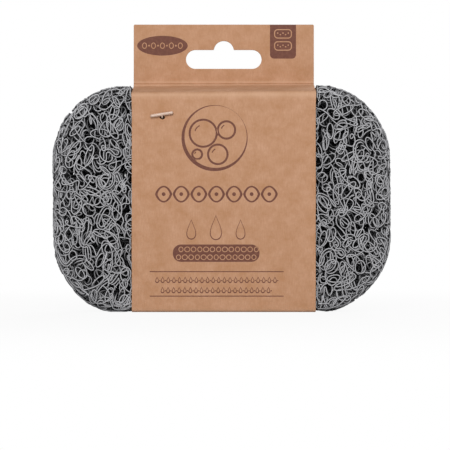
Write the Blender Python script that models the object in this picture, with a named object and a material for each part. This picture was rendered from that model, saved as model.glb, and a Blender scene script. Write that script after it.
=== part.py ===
"""Two soap riser pads of looped filament in a folded card sleeve with a hang header, in metres.

X runs along the pads, Y from the front of the pack to its back, and Z up. The origin is on the surface that the
pack stands on, under the middle of the pads.
"""

import math

import bmesh
import bpy
from mathutils import Vector

# Clearance between pieces that touch on the real object.
FIT_GAP = 0.0003
# How far a cutter reaches past what it cuts.
CUTTER_OVERRUN = 0.002
# Corners closer than this are one corner.
MERGE_DISTANCE = 0.000001

# One pad: a die-cut mat of looped filament.
PAD_WIDTH = 0.125
PAD_HEIGHT = 0.0836
PAD_THICKNESS = 0.010
PAD_CORNER_RADIUS = 0.0265
PAD_SIDE_BOW = 0.0005
PAD_EDGE_ROUND = 0.0014
PAD_RIM_WIDTH = 0.0018
LOOP_BED_DEPTH = 0.0042
LOOP_BED_MARGIN = 0.0006
CORNER_STEPS = 9
SIDE_STEPS = 6

# The filament rows that lie in the open part of each pad and follow its rim.
STRAND_DIAMETER = 0.0009
STRAND_ROWS = 3
LOOP_PITCH = 0.0082
LOOP_LENGTH = 0.0115
LOOP_POINTS = 8
LOOP_NARROWING_SHARE = 0.14
NARROWINGS_PER_LOOP = 1.7
GAP_SAMPLES_PER_CHORD = 4

# The card sleeve: one strip that goes round both pads.
CARD_THICKNESS = 0.0005
SLEEVE_WIDTH = 0.0684
SLEEVE_OFFSET = 0.0008
SHOULDER_FRONT_DROP = 0.0035
SHOULDER_BACK_RISE = 0.0008
FOLD_RADIUS = 0.0013
FOLD_STEPS = 5

# The header above the crease: two layers of the card.
HEADER_LAYERS = 2
HEADER_RISE = 0.0223
HINGE_STEPS = 6

# The hang slot through the header: a long slot with a hump in the middle for a single hook.
SLOT_LENGTH = 0.0287
SLOT_HEIGHT = 0.0072
SLOT_ABOVE_CREASE = 0.0091
HUMP_RADIUS = 0.0038
HUMP_RISE = 0.0034
HUMP_FLARE_RADIUS = 0.0003
SLOT_STEPS = 10

# The tag pin: a front bar on a bent neck, a filament through the pack, and a rear bar.
PIN_FROM_SLEEVE_EDGE = 0.0115
PIN_BELOW_FOLD = 0.0090
FRONT_BAR_LENGTH = 0.0086
FRONT_BAR_DIAMETER = 0.0012
FRONT_BAR_RISE = 0.00115
NECK_DIAMETER = 0.0007
REAR_BAR_LENGTH = 0.0096
REAR_BAR_DIAMETER = 0.0012
FILAMENT_DIAMETER = 0.0006
BAR_TILT_DEG = 9.0
PIN_HOLE_DIAMETER = 0.0018
PIN_SIDES = 12

# Worked out from the sizes above.
HEADER_THICKNESS = HEADER_LAYERS * CARD_THICKNESS
STACK_DEPTH = 2 * PAD_THICKNESS + 3 * FIT_GAP
SLEEVE_DEPTH = STACK_DEPTH + 2 * CARD_THICKNESS
SLEEVE_FRONT = -SLEEVE_DEPTH / 2
SLEEVE_BACK = SLEEVE_DEPTH / 2
PAD_BOTTOM = CARD_THICKNESS + FIT_GAP
PAD_MIDDLE = PAD_BOTTOM + PAD_HEIGHT / 2
PAD_TOP = PAD_BOTTOM + PAD_HEIGHT
SHOULDER_FRONT = PAD_TOP - SHOULDER_FRONT_DROP
SHOULDER_BACK = PAD_TOP + SHOULDER_BACK_RISE
CREASE_Y = SLEEVE_BACK - HEADER_THICKNESS / 2
CREASE_Z = SHOULDER_BACK + FIT_GAP + HEADER_THICKNESS / 2
SLEEVE_LEFT = SLEEVE_OFFSET - SLEEVE_WIDTH / 2
SLEEVE_RIGHT = SLEEVE_OFFSET + SLEEVE_WIDTH / 2
PIN_X = SLEEVE_LEFT + PIN_FROM_SLEEVE_EDGE
PIN_Z = SHOULDER_FRONT - PIN_BELOW_FOLD


def clear_scene():
    """Removes what the scene holds before the model is made."""
    for obj in list(bpy.data.objects):
        bpy.data.objects.remove(obj, do_unlink=True)


def material(name, colour, roughness, alpha=1.0):
    """A Principled material with one colour, which no other piece uses."""
    made = bpy.data.materials.new(name)
    made.use_nodes = True
    shader = made.node_tree.nodes["Principled BSDF"]
    shader.inputs["Base Color"].default_value = (*colour, 1.0)
    shader.inputs["Roughness"].default_value = roughness
    shader.inputs["Metallic"].default_value = 0.0
    shader.inputs["Alpha"].default_value = alpha
    return made


def add_object(name, data, finish=None, location=(0, 0, 0)):
    """Links a mesh or a curve into the scene as one named piece."""
    obj = bpy.data.objects.new(name, data)
    bpy.context.scene.collection.objects.link(obj)
    obj.location = location
    if finish is not None:
        obj.data.materials.append(finish)
    return obj


def mesh_from(name, bm, smooth_below_deg=35.0):
    """Turns a bmesh into a mesh whose faces point outwards and whose round parts are shaded smooth."""
    bmesh.ops.recalc_face_normals(bm, faces=bm.faces)
    mesh = bpy.data.meshes.new(name)
    bm.to_mesh(mesh)
    bm.free()
    mesh.shade_smooth()
    mesh.set_sharp_from_angle(angle=math.radians(smooth_below_deg))
    return mesh


def prism(name, points, depth_from, depth_to, place):
    """A closed solid: a flat outline pushed from one depth to another, each corner put by place(point, depth)."""
    bm = bmesh.new()
    rings = [[bm.verts.new(place(p, d)) for p in points] for d in (depth_from, depth_to)]
    bm.faces.new(rings[0])
    bm.faces.new(reversed(rings[1]))
    count = len(points)
    for i in range(count):
        j = (i + 1) % count
        bm.faces.new((rings[0][j], rings[0][i], rings[1][i], rings[1][j]))
    return mesh_from(name, bm)


def across_x(point, depth):
    """Puts an outline of the Y and Z plane at a depth along X."""
    return Vector((depth, point[0], point[1]))


def across_y(point, depth):
    """Puts an outline of the X and Z plane at a depth along Y."""
    return Vector((point[0], depth, point[1]))


def across_z(point, depth):
    """Puts an outline of the X and Y plane at a height along Z."""
    return Vector((point[0], point[1], depth))


def cutter(name, mesh, location=(0, 0, 0)):
    """A guide solid that only Boolean modifiers use."""
    obj = add_object(name, mesh, location=location)
    obj.display_type = "WIRE"
    obj.hide_render = True
    return obj


def boolean(obj, other, operation="DIFFERENCE"):
    """Cuts obj by other, or joins the two."""
    step = obj.modifiers.new(f"{operation.title()} {other.name}", "BOOLEAN")
    step.operation = operation
    step.solver = "EXACT"
    step.object = other
    return step


def round_edges(obj, width, segments, angle_deg):
    """Rounds the sharp edges of a piece."""
    step = obj.modifiers.new("Rounded edges", "BEVEL")
    step.width = width
    step.segments = segments
    step.limit_method = "ANGLE"
    step.angle_limit = math.radians(angle_deg)
    return step


def arc(centre, radius, start_deg, end_deg, steps):
    """Points along a circular arc, both ends included."""
    turn = [math.radians(start_deg + (end_deg - start_deg) * i / steps) for i in range(steps + 1)]
    return [(centre[0] + radius * math.cos(a), centre[1] + radius * math.sin(a)) for a in turn]


def rounded_loop(corners, radius, inset, steps):
    """A polygon with rounded corners, set in from its outline by inset, so that a wall has one thickness."""
    points = []
    count = len(corners)
    for i, corner in enumerate(corners):
        here = Vector(corner)
        to_last = (Vector(corners[i - 1]) - here).normalized()
        to_next = (Vector(corners[(i + 1) % count]) - here).normalized()
        half = to_last.angle(to_next) / 2
        centre = here + (to_last + to_next).normalized() * (radius / math.sin(half))
        start = here + to_last * (radius / math.tan(half)) - centre
        end = here + to_next * (radius / math.tan(half)) - centre
        for step in range(steps + 1):
            spoke = start.lerp(end, step / steps).normalized() * (radius - inset)
            points.append(tuple(centre + spoke))
    return points


def pad_outline(inset):
    """The die-cut outline of a pad about its middle, set in by inset: round corners and slightly bowed sides."""
    half_width = PAD_WIDTH / 2 - PAD_SIDE_BOW
    half_height = PAD_HEIGHT / 2 - PAD_SIDE_BOW
    centre_x = half_width - PAD_CORNER_RADIUS
    centre_z = half_height - PAD_CORNER_RADIUS
    radius = PAD_CORNER_RADIUS - inset
    corners = ((1, 1, 0), (-1, 1, 90), (-1, -1, 180), (1, -1, 270))
    straight = []
    for side_x, side_z, start in corners:
        centre = (side_x * centre_x, side_z * centre_z)
        straight.append(arc(centre, radius, start, start + 90, CORNER_STEPS))
    points = []
    for i, corner in enumerate(straight):
        points.extend(corner)
        last, first = Vector(corner[-1]), Vector(straight[(i + 1) % len(straight)][0])
        points.extend(tuple(last.lerp(first, step / SIDE_STEPS)) for step in range(1, SIDE_STEPS))
    bowed = []
    for x, z in points:
        bow_x = PAD_SIDE_BOW * math.cos(math.pi / 2 * z / half_height) * x / half_width
        bow_z = PAD_SIDE_BOW * math.cos(math.pi / 2 * x / half_width) * z / half_height
        bowed.append((x + bow_x, z + bow_z))
    return bowed


def shoulder_cutter():
    """The space above the pads that the sloping shoulder of the sleeve fills."""
    slope = (SHOULDER_BACK - SHOULDER_FRONT) / SLEEVE_DEPTH
    drop = (CARD_THICKNESS + FIT_GAP) * math.hypot(1, slope)
    reach = CUTTER_OVERRUN
    front_z = SHOULDER_FRONT - drop - slope * reach
    back_z = SHOULDER_BACK - drop + slope * reach
    roof = SHOULDER_BACK + reach
    outline = [
        (SLEEVE_FRONT - reach, front_z),
        (SLEEVE_BACK + reach, back_z),
        (SLEEVE_BACK + reach, roof),
        (SLEEVE_FRONT - reach, roof),
    ]
    left, right = SLEEVE_LEFT - FIT_GAP, SLEEVE_RIGHT + FIT_GAP
    return cutter("shoulder_cutter", prism("shoulder_cutter", outline, left, right, across_x))


def pin_hole_cutter():
    """The hole that the tag pin was pushed through, from the front card to the back."""
    outline = arc((PIN_X, PIN_Z), PIN_HOLE_DIAMETER / 2, 0, 360, PIN_SIDES)[:-1]
    front, back = SLEEVE_FRONT - CUTTER_OVERRUN, SLEEVE_BACK + CUTTER_OVERRUN
    return cutter("pin_hole_cutter", prism("pin_hole_cutter", outline, front, back, across_y))


def loop_bed_cutter(name, face_y, outward):
    """The open part of a pad on each side of the sleeve, where the filament rows lie."""
    floor_y = face_y - outward * LOOP_BED_DEPTH
    mouth_y = face_y + outward * CUTTER_OVERRUN
    bed = [(x, z + PAD_MIDDLE) for x, z in pad_outline(PAD_RIM_WIDTH)]
    cut = cutter(name, prism(name, bed, floor_y, mouth_y, across_y))
    left, right = SLEEVE_LEFT - LOOP_BED_MARGIN, SLEEVE_RIGHT + LOOP_BED_MARGIN
    low, high = PAD_BOTTOM - CUTTER_OVERRUN, PAD_TOP + CUTTER_OVERRUN
    middle = [(left, low), (right, low), (right, high), (left, high)]
    past_floor = floor_y - outward * CUTTER_OVERRUN
    past_mouth = mouth_y + outward * CUTTER_OVERRUN
    keep = cutter(f"{name}_middle", prism(f"{name}_middle", middle, past_floor, past_mouth, across_y))
    boolean(cut, keep)
    return cut


def pad(name, centre_y, outward, shoulder, pin_hole):
    """One pad: a rounded slab with a rim, open beside the sleeve on the side that faces outward."""
    outline = [(x, z + PAD_MIDDLE) for x, z in pad_outline(0)]
    near, far = centre_y - PAD_THICKNESS / 2, centre_y + PAD_THICKNESS / 2
    finish = material(f"{name}_filament", (0.20, 0.20, 0.21), 0.55)
    slab = add_object(name, prism(name, outline, near, far, across_y), finish)
    round_edges(slab, PAD_EDGE_ROUND, 2, 60)
    boolean(slab, loop_bed_cutter(f"{name}_bed_cutter", centre_y + outward * PAD_THICKNESS / 2, outward))
    boolean(slab, shoulder)
    boolean(slab, pin_hole)
    return slab


def row_spot(side, radius, along, across):
    """A place in a row that follows the rim: along the row from the middle of the pad's side, and across it."""
    corner_x = PAD_WIDTH / 2 - PAD_SIDE_BOW - PAD_CORNER_RADIUS
    corner_z = PAD_HEIGHT / 2 - PAD_SIDE_BOW - PAD_CORNER_RADIUS
    past = max(abs(along) - corner_z, 0)
    angle = past / radius
    straight = math.copysign(min(abs(along), corner_z), along)
    x = corner_x + (radius + across) * math.cos(angle)
    z = straight + math.copysign((radius + across) * math.sin(angle), along)
    return side * x, PAD_MIDDLE + z


def row_half_length(wall_x, radius, half_width):
    """Half the length of a row: round the rim's corner, as far as the wall beside the sleeve."""
    corner_x = PAD_WIDTH / 2 - PAD_SIDE_BOW - PAD_CORNER_RADIUS
    corner_z = PAD_HEIGHT / 2 - PAD_SIDE_BOW - PAD_CORNER_RADIUS
    clear_x = wall_x + FIT_GAP + STRAND_DIAMETER / 2
    share = max((clear_x - corner_x) / (radius - half_width), 0)
    return corner_z + radius * math.acos(min(share, 1))


def strand_points(side, wall_x, face_y, outward, row):
    """The path of one filament: a flat coil that leans over, so that each loop lies on the one before it."""
    outer_x = PAD_WIDTH / 2 - PAD_SIDE_BOW - PAD_RIM_WIDTH
    row_width = (outer_x - SLEEVE_RIGHT - LOOP_BED_MARGIN - FIT_GAP) / STRAND_ROWS
    half_width = (row_width - FIT_GAP - STRAND_DIAMETER) / 2
    radius = PAD_CORNER_RADIUS - PAD_RIM_WIDTH - FIT_GAP / 2 - row_width * (row + 0.5)
    half_length = row_half_length(wall_x, radius, half_width)
    loops = max(2, math.floor((2 * half_length - LOOP_LENGTH) / LOOP_PITCH + 1.5))
    pitch = (2 * half_length - LOOP_LENGTH) / (loops - 1.5)
    top_y = face_y - outward * STRAND_DIAMETER / 2
    floor_y = face_y - outward * (LOOP_BED_DEPTH - FIT_GAP - STRAND_DIAMETER / 2)
    middle_y, half_depth = (top_y + floor_y) / 2, abs(top_y - floor_y) / 2
    hand = 1 if row % 2 else -1
    points = []
    for i in range(LOOP_POINTS // 2, loops * LOOP_POINTS - LOOP_POINTS // 2 + 1):
        turns = i / LOOP_POINTS
        angle = math.tau * turns
        narrow = 1 - LOOP_NARROWING_SHARE * (1 + math.sin(NARROWINGS_PER_LOOP * angle + row)) / 2
        along = pitch * (turns - loops / 2) + LOOP_LENGTH / 2 * math.sin(angle)
        x, z = row_spot(side, radius, along, hand * half_width * narrow * math.cos(angle))
        points.append(Vector((x, middle_y - outward * half_depth * math.sin(angle), z)))
    return points


def least_gap(points, diameter):
    """The least clear distance between stretches of one tube that aren't next to each other."""
    samples = []
    for a, b in zip(points, points[1:]):
        samples.extend(a.lerp(b, i / GAP_SAMPLES_PER_CHORD) for i in range(GAP_SAMPLES_PER_CHORD))
    apart = LOOP_POINTS * GAP_SAMPLES_PER_CHORD // 3
    nearest = min(
        (samples[i] - samples[j]).length
        for i in range(len(samples))
        for j in range(i + apart, len(samples))
    )
    return nearest - diameter


def strand(name, points):
    """One filament as an unbroken tube with closed ends."""
    curve = bpy.data.curves.new(name, "CURVE")
    curve.dimensions = "3D"
    curve.bevel_depth = STRAND_DIAMETER / 2
    curve.bevel_resolution = 1
    curve.use_fill_caps = True
    spline = curve.splines.new("POLY")
    spline.points.add(len(points) - 1)
    for spot, place in zip(spline.points, points):
        spot.co = (*place, 1.0)
    finish = material(f"{name}_filament", (0.27, 0.27, 0.28), 0.45)
    print(f"{name}: least gap to itself {least_gap(points, STRAND_DIAMETER) * 1000:.2f} mm")
    return add_object(name, curve, finish)


def strand_rows(pad_name, face_y, outward):
    """The filament rows of one pad, one inside the other, in its two open beds."""
    wall_left = -(SLEEVE_LEFT - LOOP_BED_MARGIN)
    wall_right = SLEEVE_RIGHT + LOOP_BED_MARGIN
    for side_name, side, wall_x in (("left", -1, wall_left), ("right", 1, wall_right)):
        for row in range(STRAND_ROWS):
            points = strand_points(side, wall_x, face_y, outward, row)
            strand(f"{pad_name}_loops_{side_name}_{row + 1}", points)


def sleeve_wrap(pin_hole):
    """The part of the card strip that goes round the pads: front, bottom, back and sloping shoulder."""
    corners = [
        (SLEEVE_BACK, 0),
        (SLEEVE_FRONT, 0),
        (SLEEVE_FRONT, SHOULDER_FRONT),
        (SLEEVE_BACK, SHOULDER_BACK),
    ]
    loops = [rounded_loop(corners, FOLD_RADIUS, inset, FOLD_STEPS) for inset in (0, CARD_THICKNESS)]
    bm = bmesh.new()
    rings = [
        [bm.verts.new(across_x(p, x)) for p in loop] for loop in loops for x in (SLEEVE_LEFT, SLEEVE_RIGHT)
    ]
    outer_left, outer_right, inner_left, inner_right = rings
    count = len(outer_left)
    for near, far in (
        (outer_left, outer_right),
        (outer_right, inner_right),
        (inner_right, inner_left),
        (inner_left, outer_left),
    ):
        for i in range(count):
            j = (i + 1) % count
            bm.faces.new((near[i], near[j], far[j], far[i]))
    card = material("sleeve_kraft_card", (0.51, 0.28, 0.17), 0.9)
    wrap = add_object("sleeve_wrap", mesh_from("sleeve_wrap", bm), card)
    boolean(wrap, pin_hole)
    return wrap


def slot_outline():
    """The hang slot about its own middle: two round ends, and a round hump on the upper side."""
    radius = SLOT_HEIGHT / 2
    end_x = SLOT_LENGTH / 2 - radius
    hump_z = radius + HUMP_RISE - HUMP_RADIUS
    flare_z = radius + HUMP_FLARE_RADIUS
    flare_x = math.sqrt((HUMP_RADIUS + HUMP_FLARE_RADIUS) ** 2 - (flare_z - hump_z) ** 2)
    lean = math.degrees(math.atan2(flare_z - hump_z, flare_x))
    flare_steps = SLOT_STEPS // 3
    points = arc((end_x, 0), radius, -90, 90, SLOT_STEPS)
    points += arc((flare_x, flare_z), HUMP_FLARE_RADIUS, 270, 180 + lean, flare_steps)[:-1]
    points += arc((0, hump_z), HUMP_RADIUS, lean, 180 - lean, SLOT_STEPS)
    points += arc((-flare_x, flare_z), HUMP_FLARE_RADIUS, -lean, -90, flare_steps)[1:]
    points += arc((-end_x, 0), radius, 90, 270, SLOT_STEPS)
    return points


def header_card():
    """The doubled card above the crease. Its lower edge is round about the line that it folds on."""
    half = HEADER_THICKNESS / 2
    profile = [(half, HEADER_RISE)] + arc((0, 0), half, 0, -180, HINGE_STEPS) + [(-half, HEADER_RISE)]
    mesh = prism("header_card", profile, -SLEEVE_WIDTH / 2, SLEEVE_WIDTH / 2, across_x)
    card = material("header_kraft_card", (0.53, 0.29, 0.17), 0.9)
    header = add_object("header_card", mesh, card, (SLEEVE_OFFSET, CREASE_Y, CREASE_Z))
    slot = [(x, z + SLOT_ABOVE_CREASE) for x, z in slot_outline()]
    reach = half + CUTTER_OVERRUN
    cut = cutter("hang_slot_cutter", prism("hang_slot_cutter", slot, -reach, reach, across_y), header.location)
    boolean(header, cut)
    return header


def round_bar(name, length, diameter, centre_y, centre_z=0.0):
    """A bar along X with rounded ends."""
    half, radius = length / 2, diameter / 2
    outline = arc((half - radius, 0), radius, 0, 90, PIN_SIDES // 4)
    outline += arc((radius - half, 0), radius, 90, 180, PIN_SIDES // 4)
    bm = bmesh.new()
    line = [bm.verts.new((x, centre_y + r, centre_z)) for x, r in outline]
    edges = [bm.edges.new(pair) for pair in zip(line, line[1:])]
    centre = (0, centre_y, centre_z)
    bmesh.ops.spin(
        bm, geom=line + edges, cent=centre, axis=(1, 0, 0), angle=math.tau, steps=PIN_SIDES, use_merge=True
    )
    bmesh.ops.remove_doubles(bm, verts=bm.verts, dist=MERGE_DISTANCE)
    return mesh_from(name, bm)


def tag_pin():
    """One moulding: a bar in front of the card, its bent neck, a filament through the pack, and a rear bar."""
    front_y = SLEEVE_FRONT - FIT_GAP - FRONT_BAR_DIAMETER / 2
    rear_y = SLEEVE_BACK + FIT_GAP + REAR_BAR_DIAMETER / 2
    nylon = material("tag_pin_nylon", (0.85, 0.82, 0.76), 0.3, 0.6)
    front_bar = round_bar("tag_pin", FRONT_BAR_LENGTH, FRONT_BAR_DIAMETER, front_y, FRONT_BAR_RISE)
    neck_ring = arc((0, front_y), NECK_DIAMETER / 2, 0, 360, PIN_SIDES)[:-1]
    thread_ring = arc((0, 0), FILAMENT_DIAMETER / 2, 0, 360, PIN_SIDES)[:-1]
    place = (PIN_X, 0, PIN_Z)
    pin = add_object("tag_pin", front_bar, nylon, place)
    others = [
        cutter("neck_guide", prism("neck", neck_ring, -NECK_DIAMETER / 2, FRONT_BAR_RISE, across_z), place),
        cutter("filament_guide", prism("filament", thread_ring, front_y, rear_y, across_y), place),
        cutter("rear_bar_guide", round_bar("rear_bar", REAR_BAR_LENGTH, REAR_BAR_DIAMETER, rear_y), place),
    ]
    for piece in (pin, *others):
        piece.rotation_euler[1] = -math.radians(BAR_TILT_DEG)
    for other in others:
        boolean(pin, other, "UNION")
    return pin


def build():
    """Makes the whole pack."""
    clear_scene()
    shoulder = shoulder_cutter()
    pin_hole = pin_hole_cutter()
    front_y = -(PAD_THICKNESS + FIT_GAP) / 2
    rear_y = (PAD_THICKNESS + FIT_GAP) / 2
    pad("front_pad", front_y, -1, shoulder, pin_hole)
    pad("rear_pad", rear_y, 1, shoulder, pin_hole)
    strand_rows("front_pad", front_y - PAD_THICKNESS / 2, -1)
    strand_rows("rear_pad", rear_y + PAD_THICKNESS / 2, 1)
    sleeve_wrap(pin_hole)
    header_card()
    tag_pin()


build()
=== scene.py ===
"""Looks for two soap riser pads of looped filament in a folded kraft card sleeve, in metres.

X runs along the pads, Y from the front of the pack to its back, and Z up. The pack stands on Z = 0.
"""

import math

import bmesh
import bpy
import numpy as np
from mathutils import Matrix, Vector


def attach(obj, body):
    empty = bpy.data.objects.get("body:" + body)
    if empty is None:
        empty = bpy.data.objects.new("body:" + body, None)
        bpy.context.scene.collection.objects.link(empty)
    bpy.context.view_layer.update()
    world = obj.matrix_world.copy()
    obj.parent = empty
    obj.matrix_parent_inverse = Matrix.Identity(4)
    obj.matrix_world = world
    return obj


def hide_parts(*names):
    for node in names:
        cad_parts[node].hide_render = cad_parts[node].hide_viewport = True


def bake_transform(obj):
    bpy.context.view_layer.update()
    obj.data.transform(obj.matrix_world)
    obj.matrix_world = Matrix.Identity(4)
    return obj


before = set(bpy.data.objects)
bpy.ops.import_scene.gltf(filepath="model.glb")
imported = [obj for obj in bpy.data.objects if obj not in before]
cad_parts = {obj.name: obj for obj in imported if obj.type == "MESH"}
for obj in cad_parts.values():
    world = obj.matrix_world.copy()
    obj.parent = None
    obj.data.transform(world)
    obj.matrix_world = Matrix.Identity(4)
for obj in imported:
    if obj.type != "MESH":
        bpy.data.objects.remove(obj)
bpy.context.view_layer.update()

# The card sleeve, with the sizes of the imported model.
CARD_THICKNESS = 0.0005
SLEEVE_WIDTH = 0.0684
SLEEVE_OFFSET = 0.0008
SLEEVE_LEFT = SLEEVE_OFFSET - SLEEVE_WIDTH / 2
SLEEVE_RIGHT = SLEEVE_OFFSET + SLEEVE_WIDTH / 2
SLEEVE_FRONT = -0.01095
SLEEVE_BACK = 0.01095
SHOULDER_FRONT = 0.0809
SHOULDER_BACK = 0.0852
SHOULDER_SLOPE = (SHOULDER_BACK - SHOULDER_FRONT) / (SLEEVE_BACK - SLEEVE_FRONT)
FOLD_RADIUS = 0.0013
TOP_FOLD_RADIUS = 0.0022
HEADER_FRONT = 0.00995
HEADER_TOP = 0.1083
HEADER_CORNER_RADIUS = 0.0005
HEADER_PLY_GAP = 0.00008
CREASE_HEIGHT = 0.0860
SLOT_HEIGHT = 0.0951
SLOT_WIDTH = 0.0287
SLOT_END_RADIUS = 0.0036
SLOT_HUMP_RADIUS = 0.0038
SLOT_HUMP_RISE = 0.0034
SLOT_FLARE_RADIUS = 0.0003

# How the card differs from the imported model: how far its front panel swells and ripples about its middle,
# how far its top fold spreads, the share that the panel is drawn narrower by to fit the photograph, and how
# much the shoulder's fold slopes.
PANEL_MIDDLE = 0.041
PANEL_SWELL = 0.00016
PANEL_RIPPLE = 0.00004
TOP_FOLD_SPREAD = 0.00018
PANEL_NARROWED = 0.0070
SHOULDER_SKEW = 0.009

# The painted highlights along the folds: where they lie in Y and Z, and how far each pale band reaches.
PAINTED_FOLD_HIGHLIGHTS = (
    (HEADER_FRONT, CREASE_HEIGHT + 0.0004, 0.0005),
    (HEADER_FRONT - 0.0005, CREASE_HEIGHT - 0.0006, 0.0005),
    (SLEEVE_FRONT + 0.0004, SHOULDER_FRONT - 0.0006, 0.0010),
    (SLEEVE_FRONT + 0.0004, 0.0004, 0.0007),
    (SLEEVE_BACK - 0.0004, 0.0004, 0.0007),
)
# Dents in the shoulder: how deep, where in X and how wide, and where in Y and how wide.
SHOULDER_DENTS = (
    (0.00010, 0.0005, 0.0060, 0.0035, 0.0035),
    (0.00030, -0.0050, 0.0011, 0.0062, 0.0020),
    (0.00034, 0.0024, 0.0012, 0.0058, 0.0022),
)

# The pads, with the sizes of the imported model.
PAD_WIDTH = 0.1254
PAD_HEIGHT = 0.0836
PAD_THICKNESS = 0.0106
PAD_CORNER_RADIUS = 0.0265
PAD_SIDE_BOW = 0.0002
PAD_MIDDLE = 0.0423
PAD_EDGE_ROUND = 0.0014
PAD_FROM_MIDDLE = 0.0050
FRONT_PAD_TILT_DEG = 0.35
FRONT_PAD_SEED = 11
REAR_PAD_SEED = 23

# Where the corners slump: how far down, where in X and how wide.
LOW_LEFT_SLUMP = (0.0014, -0.047, 0.011)
LOW_RIGHT_SLUMP = (0.0011, 0.042, 0.008)
HIGH_RIGHT_SLUMP = (0.0014, 0.0608, 0.0065)

# The filament, and metres of it on a square metre of a full layer.
FILAMENT_DIAMETER = 0.00057
FILAMENT_SIDES = 6
HIDDEN_FILAMENT_SIDES = 5
POINT_STEP = 0.0007
LAID_PER_AREA = 940.0
# Each layer: its depth from the pad's middle, how far apart its loops are, and its share of strands.
LOBE_LAYERS = (
    (-0.0046, 0.0038, 0.40),
    (-0.0037, 0.0041, 0.20),
    (-0.0024, 0, 0.8),
    (0.0, 0, 0.9),
    (0.0024, 0, 0.8),
    (0.0037, 0.0041, 0.20),
    (0.0046, 0.0038, 0.40),
)
MIDDLE_LAYERS = ((-0.0040, 0, 0.5), (0.0, 0, 0.4), (0.0040, 0, 0.5))
RIM_INSETS = (0.0003, 0.0012, 0.0022)
WAVE_DEPTH = 0.0005
END_DIVE = 0.0024
END_POINTS = 5

# A strand: how many points it has, how it curls in turn tightly and widely, and how often two run together.
STRAND_POINTS = 32
STRAND_TRIES = 16
FIRST_BEND = 0.3
TIGHT_RADII = (0.0008, 0.0018)
TIGHT_RUN = (3, 6)
WIDE_RADII = (0.0026, 0.0120)
WIDE_RUN = (4, 9)
SAME_CURL_SHARE = 0.2
OTHER_WAY_SHARE = 0.15
PAIRED_SHARE = 0.4
PAIR_APART = 0.00100
# A loop: its radius and growth as shares of the way to the next loop, and how many turns it makes.
LOOP_RADIUS = (0.40, 0.70)
LOOP_GROWTH = (-0.12, 0.22)
FEWEST_TURNS, MOST_TURNS = 0.6, 1.75
FEWER_TURNS_IF_FULL = 0.80
TURNS_SPREAD = 0.15
LOOP_TRIES = 8
SOFTENED_TIMES = 5
# How far strands and loops are drawn out, and by how many radians their lean differs.
STRAND_STRETCH = (1.1, 1.5)
LOOP_STRETCH = (1.05, 1.75)
LEAN_SPREAD = 0.65

# The map of laid filament: its cells, the cells along a block, the strip round it, how far filament may
# run past its ends and its rim, and how much its border and its blocks count.
CELL = 0.0004
BLOCK = 8
MAP_MARGIN = 0.003
PAST_ENDS = 0.0011
PAST_RIM = 0.0003
BORDER_COUNTS = 4.0
BLOCK_COUNTS = 4.5
ABOVE_COUNTS = 0.35

# The painted shade: how far below the faces and inside the rim it goes dark, and how wide the strips along
# the rim are where filament has a light ridge, and where that ridge is a little duller.
DARK_BELOW_FACE = 0.0030
DARK_INSIDE_RIM = 0.0098
RIM_RIDGE_WIDTH = 0.0020
RIM_DULLER_WIDTH = 0.0018

# Where filament is pressed together, and how it keeps off the card and the pin.
RIM_CROWDS_FROM = -0.0004
FACE_CROWDS_FROM = 0.0002
RIM_KINK = 0.0004
RIM_WAVE = 0.0002
RIM_FROM_FACE = 0.0003
CARD_GAP = 0.0003
TUCKED_UNDER = 0.0014
BESIDE_CARD = 0.00042
ROOM_UNDER_SHOULDER = 0.0025
PIN_CLEARANCE = 0.0014

# The tag pin.
PIN_X = -0.0219
PIN_Z = 0.0719
BAR_TILT_DEG = 9.0
BAR_LENGTH = 0.0086
REAR_BAR_LENGTH = 0.0096
BAR_DIAMETER = 0.0012
BAR_FROM_MIDDLE = 0.01185
BAR_RISE = 0.00115
NECK_BEND_RADIUS = 0.00055
NECK_RADIUS = 0.00032
PIN_FILAMENT_RADIUS = 0.0003
PIN_HOLE_HALF_WIDTH = 0.0009
PIN_HOLE_HALF_HEIGHT = 0.0007

# The print: half the thickness of its ink, its gap to the card, and the grid that it follows the card by.
INK_HALF_THICKNESS = 0.000012
INK_GAP = 0.00002
INK_GRID = 0.002

# The camera, the table and the lamps.
CAMERA_LENS_MM = 160.3
CAMERA_X, CAMERA_HEIGHT, CAMERA_AWAY = 0.00126, 0.0322, 0.74
TABLE_REACH = 3.0
ROOM_LIGHT = 0.33
LAMP_WIDTH, LAMP_HEIGHT = 0.7, 0.5
LAMPS_AIM_AT = Vector((0, 0, 0.05))

# The sockets of a colour mix: its share, its two colours and its result.
SHARE, FIRST, SECOND, MIXED = 0, 6, 7, 2
WHITE = (1, 1, 1, 1)


# Materials


def linear(colour):
    """An sRGB hex colour as the linear colour that a shader socket takes."""
    parts = [int(colour[i : i + 2], 16) / 255 for i in (1, 3, 5)]
    return (*[p / 12.92 if p <= 0.04045 else ((p + 0.055) / 1.055) ** 2.4 for p in parts], 1.0)


def new_material(name, values):
    """A material, its tree and its Principled shader, which has the given values on its sockets."""
    made = bpy.data.materials.new(name)
    made.use_nodes = True
    shader = made.node_tree.nodes["Principled BSDF"]
    for socket, value in values.items():
        shader.inputs[socket].default_value = value
    return made, made.node_tree, shader


def add_node(tree, kind, inputs=None, **settings):
    """Adds a node with its settings, and gives each input its value or its link from another node."""
    made = tree.nodes.new(kind)
    for setting, value in settings.items():
        setattr(made, setting, value)
    for socket, value in (inputs or {}).items():
        if isinstance(value, bpy.types.NodeSocket):
            tree.links.new(value, made.inputs[socket])
        else:
            made.inputs[socket].default_value = value
    return made


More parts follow.
